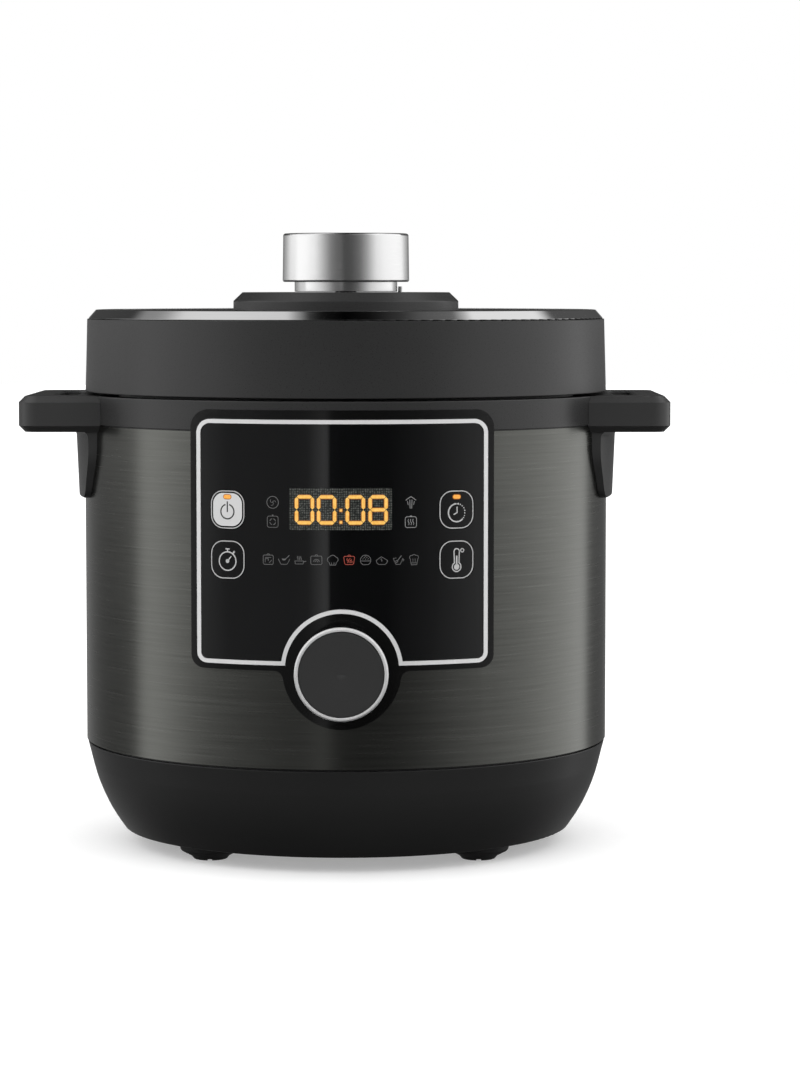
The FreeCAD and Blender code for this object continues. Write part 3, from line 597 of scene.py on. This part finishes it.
def bowl_outline(art, half=2.9, top=0.4, bottom=-2.3):
    art.line([(-half, top), (-half + 0.5, top - 1.3), (-half + 1.5, bottom), (half - 1.5, bottom),
              (half - 0.5, top - 1.3), (half, top)], THIN)


def icon_fryer(art):
    pot_outline(art, 5.6, 5.0)
    art.line([(-1.7, 1.2), (1.6, 1.2)], THIN)
    art.line([(-1.7, -1.4), (-1.7, 0.6), (0.0, 0.6), (0.0, -0.6)], THIN)
    art.line([(0.5, -1.6), (1.9, -0.2)], THIN)


def icon_stir(art):
    bowl_outline(art, 3.1, 0.6)
    art.area([(-1.2, 0.7), (-0.9, 0.0), (0.0, -0.25), (0.9, 0.0), (1.2, 0.7)])
    art.line([(0.9, 0.6), (2.9, 2.5)], THIN * 1.3)


def icon_pan(art):
    art.line([(-2.8, -0.4), (-2.6, -2.0), (1.6, -2.0), (1.9, -0.4)], THIN, closed=True)
    art.line([(2.0, -0.8), (3.4, -0.5)], THIN)
    for x in (-1.3, -0.4, 0.5):
        art.line(wavy(x, 0.1, 2.2, 0.22), THIN)


def icon_slow(art):
    pot_outline(art, 6.0, 4.6)
    for radius in (0.8, 1.6):
        art.line(arc(0, -1.0, radius, 10, 170, 12), THIN)


def icon_cake(art):
    cap = arc(-1.5, 0.4, 1.4, 240, 110, 8) + arc(0, 0.9, 1.9, 140, 40, 8) + arc(1.5, 0.4, 1.4, 70, -60, 8)
    art.line(cap, THIN)
    art.line([(-2.0, -0.9), (-1.5, -2.5), (1.5, -2.5), (2.0, -0.9)], THIN)
    for x in (-0.7, 0.7):
        art.line([(x, -1.1), (x * 0.9, -2.3)], THIN)


def icon_flames(art):
    pot_outline(art, 5.8, 4.4, 0.5)
    for x in (-0.9, 0.6):
        art.line(wavy(x, -1.3, 1.2, 0.35), THIN)
        art.line(wavy(x + 0.75, -1.3, 0.7, 0.3), THIN * 0.8)


def icon_rice(art):
    art.line(arc(0, 0.0, 2.8, 0, 180, 16), THIN)
    bowl_outline(art, 2.9, -0.1)
    for x, z in ((-1.4, 0.8), (0.0, 0.7), (1.4, 0.8), (-0.7, 1.6), (0.7, 1.6), (0.0, 2.2)):
        art.line([(x - 0.25, z - 0.2), (x + 0.25, z + 0.2)], THIN)
    art.line([(-2.6, -0.3), (2.6, -0.3)], THIN)


def icon_soup(art):
    bowl_outline(art, 3.1, -0.2)
    art.line([(-3.1, -0.2), (-1.6, 1.0), (-0.3, 1.9), (0.7, 1.3), (1.4, 0.9), (3.1, -0.2)], THIN)
    art.line(wavy(-0.2, -0.6, 0.9, 0.25), THIN)


def icon_mix(art):
    bowl_outline(art, 2.6, 0.9)
    art.line([(-2.6, 0.9), (-0.9, 1.1)], THIN)
    art.line([(-0.4, -0.4), (1.9, 2.4)], THIN * 1.2)
    art.line(arc(-0.7, -0.7, 0.55, 0, 360, 12)[:-1], THIN, closed=True)
    art.line([(2.4, 0.6), (3.2, 0.1), (2.6, -0.7)], THIN)


def icon_chef(art):
    cap = arc(-1.5, 1.3, 1.0, 230, 90, 7) + arc(0, 1.7, 1.1, 140, 40, 7) + arc(1.5, 1.3, 1.0, 90, -50, 7)
    art.line(cap + [(1.5, -2.7), (-1.5, -2.7)], THIN, closed=True)
    art.line([(-1.4, -1.7), (1.4, -1.7)], THIN)
    for x in (-0.6, 0.6):
        art.line([(x, -1.2), (x, 0.6)], THIN * 0.8)


def icon_swirl(art):
    """A ring with a fan inside."""
    art.line(arc(0, 0, 3.2, 0, 360, 30)[:-1], THIN * 1.2, closed=True)
    for turn in (0, 120, 240):
        art.line(arc(0.9 * math.cos(math.radians(turn)), 0.9 * math.sin(math.radians(turn)), 0.85,
                     turn, turn + 200, 9), THIN * 0.8)


def icon_ring_box(art):
    art.line(rounded(6.0, 6.0, 1.1), THIN, closed=True)
    art.dot(0.0, 3.4, 0.45)
    for turn in (10, 100, 190, 280):
        art.line(arc(0, 0, 1.6, turn, turn + 65, 6), THIN * 1.3)


def icon_steam_rise(art):
    """Steam that rises and spreads under a pointed roof."""
    art.line([(-2.8, 1.3), (-1.4, 2.4), (0.0, 3.2), (1.4, 2.4), (2.8, 1.3)], THIN * 1.2)
    for side in (-1, 1):
        art.line([(side * 0.42, -3.1), (side * 0.62, 1.6)], THIN * 1.1)
        art.line([(side * 1.5, -1.2), (side * 1.9, 0.8)], THIN)


def icon_steam_box(art):
    art.line(rounded(6.2, 5.8, 1.2, 0, -0.2), THIN * 1.1, closed=True)
    art.line([(-0.7, 2.8), (0.0, 3.3), (0.7, 2.8)], THIN)
    for x in (-1.3, 0.0, 1.3):
        art.line(wavy(x, -1.7, 1.4, 0.3), THIN * 1.1)


ROW_ICONS = (icon_fryer, icon_stir, icon_pan, icon_slow, icon_cake, icon_flames, icon_rice,
             icon_soup, icon_mix, icon_chef)
ROW_LIT = 5                     # the sixth programme is the chosen one
ROW_PITCH = 8.76
ROW_MIDDLE = -0.4
ROW_HEIGHT = 173.6
SMALL_ICONS = ((-1, 204.4, icon_swirl), (-1, 194.0, icon_ring_box),
               (1, 204.2, icon_steam_rise), (1, 194.0, icon_steam_box))


def make_icons(dim, pale, red):
    for i, draw in enumerate(ROW_ICONS):
        across = ROW_MIDDLE + (i - (len(ROW_ICONS) - 1) / 2) * ROW_PITCH
        art = Art((across, ROW_HEIGHT))
        draw(art)
        art.finish("programme_" + draw.__name__, red if i == ROW_LIT else dim, "body", "key_white")
    for side, height, draw in SMALL_ICONS:
        art = Art((side * SMALL_ICON_ARC, height))
        draw(art)
        art.finish("mode_" + draw.__name__, pale if side > 0 else dim, "body", "key_white")


# ---------------------------------------------------------------- display

DIGITS = ((-19.9, "abcdef"), (-8.0, "abcdef"), (7.3, "abcdef"), (19.5, "abcdefg"))
DIGIT_WIDTH = 10.3
DIGIT_HEIGHT = 15.6
DIGIT_STROKE = 1.75
DIGIT_GLOW = 0.7                # how much wider the dim edge of a stroke is
DIGIT_GAP = 0.16                # between the ends of two bars
DIGIT_MIDDLE = 200.6
COLON = (-0.4, (200.4, 194.0))
COLON_CORNER = 0.4


def segment(x1, z1, x2, z2, width):
    """One bar of a digit with pointed ends."""
    dx, dz = x2 - x1, z2 - z1
    run = math.hypot(dx, dz)
    ux, uz = dx / run * width / 2, dz / run * width / 2
    return [(x1, z1), (x1 + ux - uz, z1 + uz + ux), (x2 - ux - uz, z2 - uz + ux),
            (x2, z2), (x2 - ux + uz, z2 - uz - ux), (x1 + ux + uz, z1 + uz - ux)]


def draw_digit(art, x, bars, width):
    w, h = (DIGIT_WIDTH - DIGIT_STROKE) / 2, (DIGIT_HEIGHT - DIGIT_STROKE) / 2
    z = DIGIT_MIDDLE
    ends = {"a": (-w, h, w, h), "d": (-w, -h, w, -h), "g": (-w, 0, w, 0),
            "f": (-w, 0, -w, h), "b": (w, 0, w, h), "e": (-w, -h, -w, 0), "c": (w, -h, w, 0)}
    for bar in bars:
        x1, z1, x2, z2 = ends[bar]
        run = math.hypot(x2 - x1, z2 - z1)
        ux, uz = (x2 - x1) / run * DIGIT_GAP, (z2 - z1) / run * DIGIT_GAP
        art.area(segment(x + x1 + ux, z + z1 + uz, x + x2 - ux, z + z2 - uz, width))


def make_display(amber, glow):
    for name, material, width, lift in (("display_glow", glow, DIGIT_STROKE + DIGIT_GLOW, 0.04),
                                        ("display_digits", amber, DIGIT_STROKE, 0.07)):
        art = Art(lift=lift)
        for x, bars in DIGITS:
            draw_digit(art, x, bars, width)
        x, heights = COLON
        for z in heights:
            art.area(rounded(width - COLON_CORNER, width - COLON_CORNER, COLON_CORNER, x, z, 3))
        art.finish(name, material, "body", "display_grey")


# ---------------------------------------------------------------- keys

KEY_OUTLINE = (19.4, 19.9, 6.9)         # width, height and corner of the line at a key's edge
KEY_FILL = (17.2, 17.7, 5.9)
KEY_LINE = 0.52
LAMP = (4.2, 2.0, 0.9)
LAMP_HEIGHT = 6.85
LAMP_HALO = 0.8                 # how much larger the dim edge of a lamp is


def key_centre(body):
    low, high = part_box(KEY_NODES[body])
    side = 1 if low.x > 0 else -1
    return side * KEY_ARC, (low.z + high.z) / 2 / MM


def key_art(body, lift=0.06):
    return Art(key_centre(body), lift)


def draw_lamp(body, amber, halo):
    for name, material, grow, lift in (("_lamp_halo", halo, LAMP_HALO, 0.08), ("_lamp", amber, 0.0, 0.11)):
        art = key_art(body, lift)
        width, height, corner = (size + grow for size in LAMP)
        art.area(rounded(width, height, min(corner, height / 2 - 0.01), 0, LAMP_HEIGHT, 4))
        art.finish(body + name, material, body, "key_white")


def draw_power(art):
    art.line(arc(0, -1.1, 3.9, 106, 434, 40), 0.7)
    art.area([(-0.36, -1.4), (0.36, -1.4), (0.36, 4.4), (-0.36, 4.4)])


def draw_stopwatch(art):
    art.line(arc(0, -0.8, 5.0, 0, 360, 44)[:-1], 0.66, closed=True)
    art.area([(-0.3, 4.4), (0.3, 4.4), (0.3, 5.5), (-0.3, 5.5)])
    art.area([(-1.2, 5.4), (1.2, 5.4), (1.2, 6.1), (-1.2, 6.1)])
    art.line([(3.3, 3.5), (4.2, 4.6)], 0.9)
    art.line([(0.0, -0.8), (2.2, 1.8)], 0.6)
    art.dot(0.0, -0.8, 1.05)


def draw_clock(art):
    art.line(arc(0, -1.7, 4.85, 92, 318, 36), 0.75)
    for k, turn in enumerate((80, 64, 48, 31, 14, -3, -20, -34)):
        angle = math.radians(turn)
        art.dot(4.85 * math.cos(angle), -1.7 + 4.85 * math.sin(angle), 0.52 if k == 0 else 0.36)
    art.line([(-1.9, -2.7), (0.2, -1.7), (0.2, 1.5)], 0.6)


def draw_thermometer(art):
    art.line(arc(0, -3.9, 2.55, 122, 418, 26) + arc(0, 4.35, 1.55, 0, 180, 14), 0.6, closed=True)
    art.dot(0, -3.9, 1.6)
    art.area([(-0.45, -3.0), (0.45, -3.0), (0.45, 2.1), (-0.45, 2.1)])
    art.line(arc(3.3, 4.9, 0.95, 0, 360, 16)[:-1], 0.5, closed=True)


def make_keys(white, fill, black, amber, halo):
    drawings = {"power_key": draw_power, "timer_key": draw_stopwatch,
                "delay_key": draw_clock, "temperature_key": draw_thermometer}
    for body, draw in drawings.items():
        width, height, corner = KEY_OUTLINE
        art = key_art(body)
        art.line(rounded(width, height, corner), KEY_LINE, closed=True)
        art.finish(body + "_outline", white, body, "key_white")
        powered = body == "power_key"
        if powered:
            width, height, corner = KEY_FILL
            art = key_art(body, 0.05)
            art.area(rounded(width, height, corner))
            art.finish(body + "_fill", fill, body, "key_white")
        art = key_art(body, 0.09 if powered else 0.06)
        draw(art)
        art.finish(body + "_symbol", black if powered else white, body,
                   "panel_black" if powered else "key_white")
        if body in ("power_key", "delay_key"):
            draw_lamp(body, amber, halo)


# ---------------------------------------------------------------- making it all


def main():
    bpy.context.scene.view_settings.view_transform = "Standard"
    make_camera()
    make_world()
    make_floor()
    materials = make_materials()
    dress_nodes(materials)
    bright_ink = printed("bright_ink", 0.52, 0.64)
    dim_ink = printed("dim_ink", 0.13, 0.19)
    pale_ink = printed("pale_ink", 0.28, 0.38)
    black_ink = printed("black_ink", 0.008, 0.014)
    red_lit = glowing("red_lit", (0.30, 0.052, 0.036), (0.46, 0.10, 0.07), 1.0)
    amber = glowing("amber_lit", (0.80, 0.42, 0.075), (0.97, 0.58, 0.16), 1.0)
    amber_edge = glowing("amber_edge", (0.26, 0.070, 0.006), (0.38, 0.12, 0.012), 1.0)
    lamp_amber = glowing("lamp_amber", (0.86, 0.34, 0.05), (1.0, 0.48, 0.10), 1.0)
    make_icons(dim_ink, pale_ink, red_lit)
    make_display(amber, amber_edge)
    make_keys(bright_ink, materials["key_white"], black_ink, lamp_amber, amber_edge)


main()
